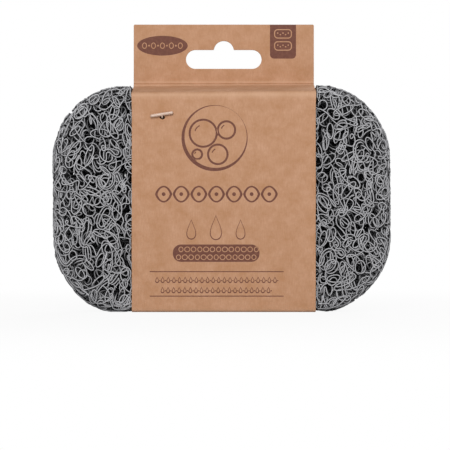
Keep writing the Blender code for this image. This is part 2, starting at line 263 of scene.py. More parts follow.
def soft_pvc():
    """Extruded soft PVC: mid grey with a faint gloss, and painted darker at its sides and deep in the pad."""
    made, tree, shader = new_material(
        "extruded_soft_pvc", {"Roughness": 0.5, "IOR": 1.53, "Specular IOR Level": 0.35}
    )
    place = add_node(tree, "ShaderNodeTexCoord").outputs["Object"]
    # The grey drifts over about 6 mm.
    drift = add_node(tree, "ShaderNodeTexNoise", {"Vector": place, "Scale": 170.0, "Detail": 2.0})
    light = add_node(
        tree,
        "ShaderNodeMix",
        {SHARE: drift.outputs["Fac"], FIRST: linear("#ABABAE"), SECOND: linear("#D3D3D6")},
        data_type="RGBA",
    )
    colour = light.outputs[MIXED]
    # Painted shade, in place of the light that a real tangle loses: each filament is light along the ridge
    # that faces out of the pad and dark at its sides, and nearly black deep in the pad.
    for attribute, dark_at, light_at, dark in (
        ("outer_ridge", 0.5, 1.0, "#3A3A3C"),
        ("near_face", 0.25, 0.72, "#0E0E10"),
    ):
        spot = add_node(tree, "ShaderNodeAttribute", attribute_name=attribute)
        share = add_node(
            tree,
            "ShaderNodeMapRange",
            {"Value": spot.outputs["Fac"], "From Min": dark_at, "From Max": light_at},
            interpolation_type="SMOOTHSTEP",
        )
        shade = add_node(
            tree,
            "ShaderNodeMix",
            {SHARE: share.outputs["Result"], FIRST: linear(dark), SECOND: colour},
            data_type="RGBA",
        )
        colour = shade.outputs[MIXED]
    tree.links.new(colour, shader.inputs["Base Color"])
    # Extrusion ripples, about 0.4 mm apart.
    ripple = add_node(tree, "ShaderNodeTexNoise", {"Vector": place, "Scale": 2400.0, "Detail": 1.0})
    bump = add_node(
        tree, "ShaderNodeBump", {"Height": ripple.outputs["Fac"], "Strength": 0.18, "Distance": 0.0001}
    )
    tree.links.new(bump.outputs["Normal"], shader.inputs["Normal"])
    return made


def kraft_card():
    """Uncoated kraft card: matt, cloudy brown, with fine fibres along the board and a painted highlight along
    its folds.
    """
    made, tree, shader = new_material(
        "uncoated_kraft_card", {"Roughness": 0.88, "IOR": 1.45, "Specular IOR Level": 0.3}
    )
    place = add_node(tree, "ShaderNodeUVMap", uv_map="blank").outputs["UV"]
    # Clouds in the pulp, from about 7 mm down to 0.2 mm across.
    cloud = add_node(
        tree, "ShaderNodeTexNoise", {"Vector": place, "Scale": 150.0, "Detail": 5.0, "Roughness": 0.75}
    )
    blotch = add_node(
        tree, "ShaderNodeMapRange", {"Value": cloud.outputs["Fac"], "From Min": 0.34, "From Max": 0.66}
    )
    # Fibres, about 2.5 mm long and 0.4 mm wide, drawn coarse enough to show.
    along = add_node(tree, "ShaderNodeMapping", {"Vector": place, "Scale": (2600.0, 400.0, 1.0)})
    fibre = add_node(
        tree,
        "ShaderNodeTexNoise",
        {"Vector": along.outputs["Vector"], "Scale": 1.0, "Detail": 3.0, "Roughness": 0.65},
    )
    streak = add_node(
        tree,
        "ShaderNodeMapRange",
        {"Value": fibre.outputs["Fac"], "From Min": 0.35, "From Max": 0.7, "To Max": 0.42},
    )
    # Folds are painted a little paler, as a painted highlight along each fold.
    painted_highlight = add_node(tree, "ShaderNodeAttribute", attribute_name="fold_painted_highlight")
    highlight_share = add_node(tree, "ShaderNodeMath", {0: painted_highlight.outputs["Fac"], 1: 0.42}, operation="MULTIPLY")
    colour = linear("#B68865")
    for share, over in (
        (blotch.outputs["Result"], "#C89C7E"),
        (streak.outputs["Result"], "#AD7B58"),
        (highlight_share.outputs["Value"], "#D6B093"),
    ):
        layer = add_node(
            tree, "ShaderNodeMix", {SHARE: share, FIRST: colour, SECOND: linear(over)}, data_type="RGBA"
        )
        colour = layer.outputs[MIXED]
    tree.links.new(colour, shader.inputs["Base Color"])
    bump = add_node(
        tree, "ShaderNodeBump", {"Height": fibre.outputs["Fac"], "Strength": 0.25, "Distance": 0.00008}
    )
    tree.links.new(bump.outputs["Normal"], shader.inputs["Normal"])
    return made


def patchy_finish(name, values, scale, detail, parted, dark, light):
    """A finish of two shades in patches: their scale and detail, and how sharply they are parted."""
    made, tree, shader = new_material(name, values)
    place = add_node(tree, "ShaderNodeTexCoord").outputs["Object"]
    patch = add_node(tree, "ShaderNodeTexNoise", {"Vector": place, "Scale": scale, "Detail": detail})
    share = add_node(
        tree,
        "ShaderNodeMapRange",
        {"Value": patch.outputs["Fac"], "From Min": parted[0], "From Max": parted[1]},
    )
    colour = add_node(
        tree,
        "ShaderNodeMix",
        {SHARE: share.outputs["Result"], FIRST: linear(dark), SECOND: linear(light)},
        data_type="RGBA",
    )
    tree.links.new(colour.outputs[MIXED], shader.inputs["Base Color"])
    return made


def cut_board():
    """The cut edge of the card: bare fibre, a little darker and rougher than the face."""
    values = {"Roughness": 0.95, "IOR": 1.45}
    # Torn fibre, about 0.4 mm across.
    return patchy_finish("cut_edge_of_kraft_card", values, 2500.0, 2.0, (0, 1), "#7E563C", "#A67A5A")


def brown_ink():
    """Offset ink on kraft: dark brown, matt, and a little uneven where the fibres show through."""
    values = {"Roughness": 0.7, "IOR": 1.45, "Specular IOR Level": 0.35}
    # Thin patches, about 1 mm across.
    return patchy_finish("brown_offset_ink", values, 900.0, 3.0, (0.4, 0.75), "#694034", "#784D3D")


def natural_nylon():
    """Moulded natural nylon: milky, half see-through, with a soft gloss."""
    values = {"Roughness": 0.35, "IOR": 1.53, "Transmission Weight": 0.25}
    # Flow marks of the moulding, about 1.4 mm across.
    return patchy_finish("moulded_natural_nylon", values, 700.0, 2.0, (0, 1), "#D8B7A1", "#EED5C4")


PVC = soft_pvc()
KRAFT = kraft_card()
CUT_EDGE = cut_board()
INK = brown_ink()
NYLON = natural_nylon()


# Pieces in general


def put_in_scene(name, data):
    """An object of a mesh, curve, camera or lamp, in the scene and at the origin."""
    made = bpy.data.objects.new(name, data)
    bpy.context.scene.collection.objects.link(made)
    return made


def add_piece(name, mesh, finish):
    """A mesh in the scene with its finish."""
    piece = put_in_scene(name, mesh)
    mesh.materials.clear()
    mesh.materials.append(finish)
    return piece


def mesh_made_by(piece):
    """The mesh that a piece's modifiers or its curve make."""
    graph = bpy.context.evaluated_depsgraph_get()
    graph.update()
    return bpy.data.meshes.new_from_object(piece.evaluated_get(graph))


def plain_mesh(piece):
    """Puts what the modifiers of a piece make into its mesh, and takes the modifiers off."""
    made = mesh_made_by(piece)
    made.name = piece.name
    piece.modifiers.clear()
    old = piece.data
    piece.data = made
    bpy.data.meshes.remove(old)
    return piece


def mesh_of(name, shape):
    """A mesh from a bmesh, which is freed."""
    mesh = bpy.data.meshes.new(name)
    shape.to_mesh(mesh)
    shape.free()
    return mesh


def bell(distance, width):
    """One at no distance, falling smoothly to nought."""
    return np.exp(-((distance / width) ** 2))


# Filament


def tube_tree():
    """A Geometry Nodes tree that turns chains of edges into round filament."""
    tree = bpy.data.node_groups.new("filament_along_paths", "GeometryNodeTree")
    tree.is_modifier = True
    face = tree.interface
    face.new_socket("Geometry", in_out="INPUT", socket_type="NodeSocketGeometry")
    radius = face.new_socket("Filament Radius", in_out="INPUT", socket_type="NodeSocketFloat")
    sides = face.new_socket("Sides", in_out="INPUT", socket_type="NodeSocketInt")
    finish = face.new_socket("Finish", in_out="INPUT", socket_type="NodeSocketMaterial")
    face.new_socket("Geometry", in_out="OUTPUT", socket_type="NodeSocketGeometry")
    given = add_node(tree, "NodeGroupInput").outputs
    paths = add_node(tree, "GeometryNodeMeshToCurve", {"Mesh": given["Geometry"]})
    outline = add_node(
        tree,
        "GeometryNodeCurvePrimitiveCircle",
        {"Resolution": given["Sides"], "Radius": given["Filament Radius"]},
    )
    tube = add_node(
        tree,
        "GeometryNodeCurveToMesh",
        {"Curve": paths.outputs["Curve"], "Profile Curve": outline.outputs["Curve"], "Fill Caps": True},
    )
    smooth = add_node(tree, "GeometryNodeSetShadeSmooth", {"Geometry": tube.outputs["Mesh"]})
    real = add_node(tree, "GeometryNodeRealizeInstances", {"Geometry": smooth.outputs["Geometry"]})
    dressed = add_node(
        tree,
        "GeometryNodeSetMaterial",
        {"Geometry": real.outputs["Geometry"], "Material": given["Finish"]},
    )
    add_node(tree, "NodeGroupOutput", {"Geometry": dressed.outputs["Geometry"]})
    return tree, radius.identifier, sides.identifier, finish.identifier


TUBE_TREE, RADIUS_INPUT, SIDES_INPUT, FINISH_INPUT = tube_tree()


def filament_piece(name, chains, sides):
    """Chains of points as one mesh of round filament."""
    mesh = bpy.data.meshes.new(name)
    points = np.concatenate(chains)
    starts = np.cumsum([0] + [len(c) for c in chains])
    links = np.concatenate([np.arange(a, b - 1) for a, b in zip(starts, starts[1:])])
    mesh.from_pydata(points.tolist(), np.stack([links, links + 1], axis=1).tolist(), [])
    piece = put_in_scene(name, mesh)
    step = piece.modifiers.new("Filament", "NODES")
    step.node_group = TUBE_TREE
    step[RADIUS_INPUT] = FILAMENT_DIAMETER / 2
    step[SIDES_INPUT] = sides
    step[FINISH_INPUT] = PVC
    return plain_mesh(piece)


def wander(rng, count, knots):
    """A smooth random line of count values between about -1 and 1, with so many knots."""
    values = rng.uniform(-1, 1, knots + 3)
    spot = np.linspace(0, knots, count, endpoint=False)
    index = spot.astype(int)
    f = spot - index
    a, b, c, d = (values[index + k] for k in range(4))
    square = (2 * a - 5 * b + 4 * c - d) * f**2
    cube = (3 * b - 3 * c + d - a) * f**3
    return 0.5 * (2 * b + (c - a) * f + square + cube)


# The shape of a pad


def from_outline(x, z):
    """How far points about the pad's middle lie outside its outline, and the way straight out from it."""
    turn_x = math.pi * np.clip(x / PAD_WIDTH, -0.5, 0.5)
    turn_z = math.pi * np.clip(z / PAD_HEIGHT, -0.5, 0.5)
    half_x = PAD_WIDTH / 2 - PAD_SIDE_BOW * (1 - np.cos(turn_z))
    half_z = PAD_HEIGHT / 2 - PAD_SIDE_BOW * (1 - np.cos(turn_x))
    past_x = np.abs(x) - (half_x - PAD_CORNER_RADIUS)
    past_z = np.abs(z) - (half_z - PAD_CORNER_RADIUS)
    corner = np.hypot(np.maximum(past_x, 0), np.maximum(past_z, 0))
    inside = np.where((past_x > 0) | (past_z > 0), corner, np.maximum(past_x, past_z))
    safe = np.maximum(corner, 1e-9)
    out_x = np.where(corner > 1e-9, np.maximum(past_x, 0) / safe, (past_x >= past_z) * 1.0)
    out_z = np.where(corner > 1e-9, np.maximum(past_z, 0) / safe, (past_x < past_z) * 1.0)
    return inside - PAD_CORNER_RADIUS, np.sign(x) * out_x, np.sign(z) * out_z


def crowd(values, start, limit):
    """Values past start are pressed together below limit."""
    room = limit - start
    pressed = start + room * np.tanh(np.maximum(values - start, 0) / room)
    return np.where(values > start, pressed, values)


def into_pad(rng, points, centre_y):
    """Presses points into the pad's round-cornered slab, so that filament crowds along its cut rim."""
    reach = PAD_EDGE_ROUND - FILAMENT_DIAMETER / 2
    x, y, z = points[:, 0], points[:, 1] - centre_y, points[:, 2] - PAD_MIDDLE
    gap, out_x, out_z = from_outline(x, z)
    out = gap + PAD_EDGE_ROUND
    squeezed = crowd(out, RIM_CROWDS_FROM, reach)
    kinks = RIM_KINK * rng.uniform(-1, 0.4, len(x)) * np.clip((out + 0.0002) / 0.0012, 0, 1)
    pressed = np.minimum(squeezed + kinks, reach)
    x = x + out_x * (pressed - out)
    z = z + out_z * (pressed - out)
    deep = np.abs(y) - (PAD_THICKNESS / 2 - PAD_EDGE_ROUND)
    flattened = crowd(deep, FACE_CROWDS_FROM, reach)
    y = np.sign(y) * (np.abs(y) + flattened - deep)
    # Where rim and face meet, the edge is round.
    over = np.hypot(np.maximum(pressed, 0), np.maximum(flattened, 0))
    both = (pressed > 0) & (flattened > 0) & (over > reach)
    pull = np.where(both, 1 - reach / np.maximum(over, 1e-9), 0)
    x = x - out_x * pressed * pull
    z = z - out_z * pressed * pull
    y = y - np.sign(y) * flattened * pull
    return np.stack([x, y + centre_y, z + PAD_MIDDLE], axis=1)


def on_rim(rng, side, centre_y, along, depth, inset):
    """Points on a lobe's rim, from how far along it, how deep and how far inside the outline they lie."""
    corner_x = PAD_WIDTH / 2 - PAD_SIDE_BOW - PAD_CORNER_RADIUS
    corner_z = PAD_HEIGHT / 2 - PAD_SIDE_BOW - PAD_CORNER_RADIUS
    turn = np.maximum(np.abs(along) - corner_z, 0) / PAD_CORNER_RADIUS
    flat_half = PAD_THICKNESS / 2 - PAD_EDGE_ROUND
    over = np.clip(np.abs(depth) - flat_half, 0, PAD_EDGE_ROUND - RIM_FROM_FACE)
    set_in = inset + PAD_EDGE_ROUND - np.sqrt(PAD_EDGE_ROUND**2 - over**2)
    radius = PAD_CORNER_RADIUS - set_in - RIM_WAVE * (1 + wander(rng, len(along), 12))
    x = corner_x + radius * np.cos(turn)
    z = np.sign(along) * (np.minimum(np.abs(along), corner_z) + radius * np.sin(turn))
    x = x + PAD_SIDE_BOW * np.cos(math.pi * z / PAD_HEIGHT) * x / (PAD_WIDTH / 2)
    z = z + PAD_SIDE_BOW * np.cos(math.pi * x / PAD_WIDTH) * z / (PAD_HEIGHT / 2)
    return np.stack([side * x, centre_y + depth, z + PAD_MIDDLE], axis=1)


def slumped(x, slump):
    """How far a corner has come down at x."""
    depth, place, reach = slump
    return depth * bell(x - place, reach)


def settled(points, tilt_deg):
    """Points of a pad that sits a little askew in the sleeve, with its corners slumped."""
    c, s = math.cos(math.radians(tilt_deg)), math.sin(math.radians(tilt_deg))
    x, y, z = points[:, 0], points[:, 1], points[:, 2] - PAD_MIDDLE
    low = np.clip(-z / (PAD_HEIGHT / 2), 0, 1)
    high = np.clip(z / (PAD_HEIGHT / 2), 0, 1)
    z = z - low * (slumped(x, LOW_LEFT_SLUMP) + slumped(x, LOW_RIGHT_SLUMP))
    z = z - high * slumped(x, HIGH_RIGHT_SLUMP)
    height = np.maximum(x * s + z * c + PAD_MIDDLE, FILAMENT_DIAMETER / 2)
    return np.stack([x * c - z * s, y, height], axis=1)


def clear_of_card(points, middle):
    """Keeps filament below the shoulder or beside the sleeve, and the tag pin's way through free."""
    x, y, z = points[:, 0], points[:, 1], points[:, 2]
    slack = CARD_THICKNESS + CARD_GAP + FILAMENT_DIAMETER / 2
    roof = SHOULDER_FRONT + SHOULDER_SLOPE * (y - SLEEVE_FRONT) - slack * math.hypot(1, SHOULDER_SLOPE)
    if middle:
        room = ROOM_UNDER_SHOULDER
        start = roof - room
        pressed = start + room * (1 - np.exp(-np.maximum(z - start, 0) / room))
        z = np.where(z > start, pressed, z)
    else:
        under = np.clip((roof - z) / 0.0015, 0, 1) * TUCKED_UNDER - BESIDE_CARD
        x = np.where(x < 0, np.minimum(x, SLEEVE_LEFT + under), np.maximum(x, SLEEVE_RIGHT - under))
    way = np.hypot(x - PIN_X, z - PIN_Z)
    push = np.where(way < PIN_CLEARANCE, PIN_CLEARANCE / np.maximum(way, 1e-6), 1)
    return np.stack([PIN_X + (x - PIN_X) * push, y, PIN_Z + (z - PIN_Z) * push], axis=1)


# How the filament is laid


class Bed:
    """A map of where filament lies on a flat area, in small cells and in square blocks of cells."""

    def __init__(self, from_x, to_x, half_z, past_edge):
        """An empty map of an area, whose past_edge says how far points lie outside it."""
        self.from_x, self.to_x, self.half_z, self.past_edge = from_x, to_x, half_z, past_edge
        self.low_x, self.low_z = from_x - MAP_MARGIN, -half_z - MAP_MARGIN
        self.blocks_x = math.ceil((to_x - from_x + 2 * MAP_MARGIN) / CELL / BLOCK)
        self.blocks_z = math.ceil((2 * half_z + 2 * MAP_MARGIN) / CELL / BLOCK)
        along_x = self.low_x + CELL * np.arange(self.blocks_x * BLOCK)
        along_z = self.low_z + CELL * np.arange(self.blocks_z * BLOCK)
        x, z = np.meshgrid(along_x, along_z, indexing="ij")
        past_ends = (x < from_x - PAST_ENDS) | (x > to_x + PAST_ENDS)
        beyond = (past_edge(x, z) > PAST_RIM) | past_ends
        self.area = np.sum(~beyond) * CELL * CELL
        self.wall = BORDER_COUNTS * beyond
        self.walled = self.in_blocks(self.wall)
        self.room = self.in_blocks(~beyond)
        self.laid = np.zeros(beyond.shape)
        self.crowded = self.in_blocks(self.laid)
        self.usual = 0.0

    def in_blocks(self, cells):
        """The mean of a map's cells in each block."""
        return cells.reshape(self.blocks_x, BLOCK, self.blocks_z, BLOCK).mean(axis=(1, 3))

    def cells(self, x, z):
        """The cells that points lie in."""
        i = np.clip(((x - self.low_x) / CELL).astype(int), 1, self.blocks_x * BLOCK - 2)
        j = np.clip(((z - self.low_z) / CELL).astype(int), 1, self.blocks_z * BLOCK - 2)
        return i, j

    def mark(self, x, z):
        """Adds a stretch of filament to the map, half as much on the cells round it as on its own."""
        i, j = self.cells(x, z)
        for di in (-1, 0, 1):
            for dj in (-1, 0, 1):
                np.add.at(self.laid, (i + di, j + dj), 0.5 if di or dj else 1.0)
        np.add.at(self.crowded, (i // BLOCK, j // BLOCK), (1.0 + 8 * 0.5) / BLOCK**2)

    def how_full(self, x, z):
        """How much filament lies along each of several stretches, their blocks counting most."""
        i, j = self.cells(x, z)
        lying = self.laid[i, j] + self.wall[i, j]
        around = self.crowded[i // BLOCK, j // BLOCK] + self.walled[i // BLOCK, j // BLOCK]
        return (lying + BLOCK_COUNTS * around).mean(axis=1)

    def extra_near(self, spot):
        """How much more filament lies about a spot than lay on the whole area when the layer began."""
        i, j = (cell[0] // BLOCK for cell in self.cells(*np.array(spot)[:, None]))
        near = np.s_[max(i - 1, 0) : i + 2, max(j - 1, 0) : j + 2]
        return self.crowded[near].sum() / max(self.room[near].sum(), 1.0) - self.usual

    def barest(self):
        """The middle of the barest block."""
        fullness = self.crowded + self.walled
        block_x, block_z = np.unravel_index(np.argmin(fullness), fullness.shape)
        side = BLOCK * CELL
        return self.low_x + (block_x + 0.5) * side, self.low_z + (block_z + 0.5) * side

    def go_deeper(self):
        """Starts the next layer, for which the filament above counts less."""
        self.laid *= ABOVE_COUNTS
        self.crowded = self.in_blocks(self.laid)
        self.usual = self.crowded.sum() / self.room.sum()


def drawn_out(rng, low, high):
    """A stretch that draws loops out, more often upwards than sideways: its three numbers."""
    lean = math.pi / 2 + LEAN_SPREAD * rng.standard_normal()
    long = rng.uniform(low, high)
    c, s = math.cos(lean), math.sin(lean)
    return long * c * c + s * s / long, (long - 1 / long) * c * s, long * s * s + c * c / long


def one_strand(rng, bed):
    """A way of filament that starts in the barest place, curls, and keeps to bare places."""
    spot = bed.barest()
    heading = rng.uniform(0, math.tau)
    side = rng.choice((-1, 1))
    bend, tight = FIRST_BEND, True
    xx, xz, zz = drawn_out(rng, *STRAND_STRETCH)
    way = [spot]
    while len(way) < STRAND_POINTS:
        tight = tight if rng.random() < SAME_CURL_SHARE else not tight
        run = rng.integers(*(TIGHT_RUN if tight else WIDE_RUN))
        radii = rng.uniform(*(TIGHT_RADII if tight else WIDE_RADII), STRAND_TRIES)
        curls = side * POINT_STEP / radii
        curls = np.where(rng.random(STRAND_TRIES) < OTHER_WAY_SHARE, -curls, curls)
        eased = np.minimum(np.arange(1, run + 1) / 2, 1)
        turns = heading + np.cumsum(bend + (curls[:, None] - bend) * eased, axis=1)
        x = spot[0] + POINT_STEP * np.cumsum(xx * np.cos(turns) + xz * np.sin(turns), axis=1)
        z = spot[1] + POINT_STEP * np.cumsum(xz * np.cos(turns) + zz * np.sin(turns), axis=1)
        best = np.argmin(bed.how_full(x, z) + rng.uniform(0, 0.5, STRAND_TRIES))
        bed.mark(x[best], z[best])
        way.extend(zip(x[best], z[best]))
        spot = x[best, -1], z[best, -1]
        heading, bend = turns[best, -1], curls[best]
        side = math.copysign(1, bend)
    return np.array(way)


def second_of_pair(rng, way):
    """A filament that runs beside another one."""
    ahead = np.gradient(way, axis=0)
    ahead /= np.maximum(np.hypot(*ahead.T), 1e-9)[:, None]
    apart = PAIR_APART * rng.choice((-1, 1)) * (1 + 0.3 * wander(rng, len(way), 9))
    return way + apart[:, None] * np.stack([-ahead[:, 1], ahead[:, 0]], axis=1)


def lay_strands(rng, bed, laid_per_area):
    """Strands, some of them in pairs, until there are enough on the bed."""
    left_to_lay = laid_per_area * bed.area
    ways = []
    while left_to_lay > 0:
        way = one_strand(rng, bed)
        ways.append(way)
        left_to_lay -= len(way) * POINT_STEP
        if rng.random() < PAIRED_SHARE:
            second = second_of_pair(rng, way)
            bed.mark(*second.T)
            ways.append(second)
            left_to_lay -= len(way) * POINT_STEP
    return ways


def even_spots(rng, bed, apart):
    """Spots all over an area, none nearer to another than apart."""
    tries, past_ends, from_rim = 3000, 0.0006, 0.0018
    spots = np.empty((0, 2))
    for _ in range(tries):
        x = rng.uniform(bed.from_x - past_ends, bed.to_x + past_ends)
        z = rng.uniform(-bed.half_z, bed.half_z)
        inside = bed.past_edge(x, z) < -from_rim
        if inside and (len(spots) == 0 or np.hypot(*(spots - (x, z)).T).min() > apart):
            spots = np.vstack([spots, (x, z)])
    return spots


def spot_rows(rng, spots, reach):
    """Rows of neighbouring spots that take each spot once."""
    left = list(rng.permutation(len(spots)))
    rows = []
    while left:
        row = [left.pop()]
        for _ in range(rng.integers(4, 11)):
            if not left:
                break
            far = np.hypot(*(spots[left] - spots[row[-1]]).T)
            nearest = np.argsort(far)[: rng.integers(1, 4)][-1]
            if far[nearest] > reach:
                break
            row.append(left.pop(nearest))
        rows.append(spots[row])
    return rows


def one_loop(rng, here, there, side, angle, turns, apart):
    """A loop or two about a spot, which then goes over to the next spot, and the angle that it ends at."""
    radius = rng.uniform(*LOOP_RADIUS) * apart
    grown = rng.uniform(*LOOP_GROWTH) * apart
    xx, xz, zz = drawn_out(rng, *LOOP_STRETCH)
    t = np.arange(0, 1, POINT_STEP / (math.tau * turns * radius))
    late = np.clip((t - 0.5) / 0.5, 0, 1)
    moved = late**2 * (3 - 2 * late)
    turn = angle + side * math.tau * turns * t
    reach = radius + grown * t
    x = reach * (xx * np.cos(turn) + xz * np.sin(turn))
    z = reach * (xz * np.cos(turn) + zz * np.sin(turn))
    points = here + moved[:, None] * (there - here) + np.stack([x, z], axis=1)
    return points, angle + side * math.tau * turns


def lay_loops(rng, bed, apart):
    """Ways of filament that loop about each of many evenly spread spots, where the bed is barest."""
    ways = []
    for row in spot_rows(rng, even_spots(rng, bed, apart), 2.0 * apart):
        side, angle = rng.choice((-1, 1)), rng.uniform(0, math.tau)
        found = []
        for here, there in zip(row, [*row[1:], row[-1]]):
            fewer = FEWER_TURNS_IF_FULL * bed.extra_near(here)
            turns = np.clip(MOST_TURNS - fewer, FEWEST_TURNS, MOST_TURNS)
            turns = turns + rng.uniform(-TURNS_SPREAD, TURNS_SPREAD, LOOP_TRIES)
            tried = [one_loop(rng, here, there, side, angle, share, apart) for share in turns]
            points, angle = min(tried, key=lambda made: bed.how_full(*made[0].T[:, None])[0])
            bed.mark(*points.T)
            found.append(points)
        way = np.concatenate(found)
        # Where one loop goes over into the next, the filament bends softly.
        for _ in range(SOFTENED_TIMES):
            way[1:-1] = 0.25 * way[:-2] + 0.5 * way[1:-1] + 0.25 * way[2:]
        ways.append(way)
    return ways


# Pads


def pad_layers(rng, from_x, to_x, centre_y, layers):
    """The filament of one part of a pad, in layers that dip into each other."""
    chains = []
    bed = Bed(from_x, to_x, PAD_HEIGHT / 2, lambda x, z: from_outline(x, z)[0])
    for depth, loops_apart, strand_share in layers:
        ways = lay_loops(rng, bed, loops_apart) if loops_apart else []
        ways += lay_strands(rng, bed, LAID_PER_AREA * strand_share)
        bed.go_deeper()
        for flat in ways:
            count = len(flat)
            y = depth + WAVE_DEPTH * wander(rng, count, 1 + count // 9)
            y = y + WAVE_DEPTH * wander(rng, count, 1 + count // 4)
            # The ends dive into the core.
            to_end = np.minimum(np.arange(count), np.arange(count)[::-1])
            dive = np.clip(1 - to_end / END_POINTS, 0, 1) ** 1.5
            y = y - math.copysign(END_DIVE, depth) * dive
            chain = np.stack([flat[:, 0], centre_y + y, flat[:, 1] + PAD_MIDDLE], axis=1)
            chains.append(into_pad(rng, chain, centre_y))
    return chains


def rim_layers(rng, side, centre_y):
    """The filament that shows on one lobe's cut rim, curled like that of the faces."""
    half_y = PAD_THICKNESS / 2 - RIM_FROM_FACE
    # The rim goes a little past the lobe's rounded corners.
    corner_turn = math.pi / 2 * 1.03
    half_along = PAD_HEIGHT / 2 - PAD_CORNER_RADIUS * (1 - corner_turn)
    chains = []
    half_bed = half_y - PAST_ENDS
    bed = Bed(-half_bed, half_bed, half_along, lambda x, z: np.abs(z) - half_along)
    for inset in RIM_INSETS:
        for way in lay_strands(rng, bed, LAID_PER_AREA):
            depth = np.clip(way[:, 0], -half_y, half_y)
            chains.append(on_rim(rng, side, centre_y, way[:, 1], depth, inset))
        bed.go_deeper()
    return chains


def mark_surface(piece, centre_y):
    """Keeps on each point how near it lies to the pad's surface, and how squarely it faces out."""
    mesh = piece.data
    spots = np.zeros(len(mesh.vertices) * 3, np.float32)
    mesh.vertices.foreach_get("co", spots)
    spots = spots.reshape(-1, 3)
    facing = np.zeros(len(mesh.vertices) * 3, np.float32)
    mesh.vertex_normals.foreach_get("vector", facing)
    facing = facing.reshape(-1, 3)
    gap, out_x, out_z = from_outline(spots[:, 0], spots[:, 2] - PAD_MIDDLE)
    below_face = PAD_THICKNESS / 2 - np.abs(spots[:, 1] - centre_y)
    near = np.clip(1 - np.minimum(below_face / DARK_BELOW_FACE, -gap / DARK_INSIDE_RIM), 0, 1)
    outward = facing[:, 0] * out_x + facing[:, 2] * out_z
    ridge = np.maximum(np.abs(facing[:, 1]), np.where(-gap < RIM_RIDGE_WIDTH, 0.9 * outward, 0))
    ridge *= 1 - 0.2 * np.clip(1 + gap / RIM_DULLER_WIDTH, 0, 1)
    for name, values in (("near_face", near), ("outer_ridge", np.clip(ridge, 0, 1))):
        kept = mesh.attributes.new(name, "FLOAT", "POINT")
        kept.data.foreach_set("value", values.astype(np.float32))


def make_pad(name, centre_y, seed, tilt_deg):
    """One pad: two open lobes beside the sleeve, and the part that the sleeve hides."""
    rng = np.random.default_rng(seed)
    edge = PAD_WIDTH / 2
    for side, sign, from_x, to_x in (
        ("left", -1, -edge, SLEEVE_LEFT + 0.001),
        ("right", 1, SLEEVE_RIGHT - 0.001, edge),
    ):
        chains = pad_layers(rng, from_x, to_x, centre_y, LOBE_LAYERS)
        chains += rim_layers(rng, sign, centre_y)
        chains = [clear_of_card(settled(c, tilt_deg), False) for c in chains]
        piece = filament_piece(f"{name}_{side}_lobe", chains, FILAMENT_SIDES)
        mark_surface(piece, centre_y)
        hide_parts(name, *[f"{name}_loops_{side}_{i}" for i in (1, 2, 3)])
        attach(piece, "pack")
    chains = pad_layers(rng, SLEEVE_LEFT, SLEEVE_RIGHT, centre_y, MIDDLE_LAYERS)
    chains = [clear_of_card(settled(c, tilt_deg), True) for c in chains]
    piece = filament_piece(f"{name}_middle", chains, HIDDEN_FILAMENT_SIDES)
    mark_surface(piece, centre_y)
    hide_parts(name)
    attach(piece, "pack")


# The card sleeve


def arc_points(centre, radius, start_deg, end_deg, steps):
    """Points along a circular arc, both ends included."""
    turn = [math.radians(start_deg + (end_deg - start_deg) * i / steps) for i in range(steps + 1)]
    return [(centre[0] + radius * math.cos(a), centre[1] + radius * math.sin(a)) for a in turn]


def rounded_path(corners):
    """A path of (y, z, radius) corners, rounded but for its two ends, as a list of points."""
    steps = 8
    places = [Vector(corner[:2]) for corner in corners]
    points = [places[0]]
    for before, here, after, corner in zip(places, places[1:], places[2:], corners[1:]):
        radius = corner[2]
        back = (before - here).normalized()
        on = (after - here).normalized()
        half = back.angle(on) / 2
        cut = radius / math.tan(half)
        centre = here + (back + on).normalized() * (radius / math.sin(half))
        start = here + back * cut - centre
        sweep = start.angle_signed(here + on * cut - centre)
        for k in range(steps + 1):
            turn = -sweep * k / steps
            c, s = math.cos(turn), math.sin(turn)
            points.append(centre + Vector((start.x * c - start.y * s, start.x * s + start.y * c)))
    points.append(places[-1])
    return points


def even_steps(points, longest):
    """The same path with every stretch cut to at most the longest step."""
    spots = [points[0]]
    for a, b in zip(points, points[1:]):
        pieces = max(1, math.ceil((b - a).length / longest))
        spots.extend(a.lerp(b, k / pieces) for k in range(1, pieces + 1))
    return spots


def card_profile():
    """The outer side of the blank, from the header's front edge round the pads to its back edge."""
    corners = [
        (HEADER_FRONT, HEADER_TOP, 0),
        (HEADER_FRONT, CREASE_HEIGHT + 0.0001, 0.0001),
        (HEADER_FRONT + 0.0002, CREASE_HEIGHT - 0.0002, 0.00006),
        (HEADER_FRONT - 0.0011, CREASE_HEIGHT - 0.0010, 0.0005),
        (SLEEVE_FRONT, SHOULDER_FRONT + 0.0005, TOP_FOLD_RADIUS),
        (SLEEVE_FRONT, 0.0, FOLD_RADIUS),
        (SLEEVE_BACK, 0.0, FOLD_RADIUS),
        (SLEEVE_BACK, HEADER_TOP, 0),
    ]
    path = rounded_path(corners)
    # The points are close together beside the crease, where the card bends.
    fine, coarse, reach = 0.00015, 0.0012, 0.0022
    spots = [path[0]]
    for a, b in zip(path, path[1:]):
        for spot in even_steps([a, b], fine)[1:-1]:
            beside_crease = spot.x > 0.0085 and abs(spot.y - CREASE_HEIGHT) < reach
            if beside_crease or (spot - spots[-1]).length > coarse:
                spots.append(spot)
        spots.append(b)
    return spots


def card_columns():
    """The places of the grid's lines across the strip, closer at its cut edges."""
    edge = [0, 0.00008, 0.0002, 0.0004, 0.0007]
    inner = np.linspace(0.0012, SLEEVE_WIDTH - 0.0012, 56)
    return [*edge, *inner, *[SLEEVE_WIDTH - e for e in reversed(edge)]]


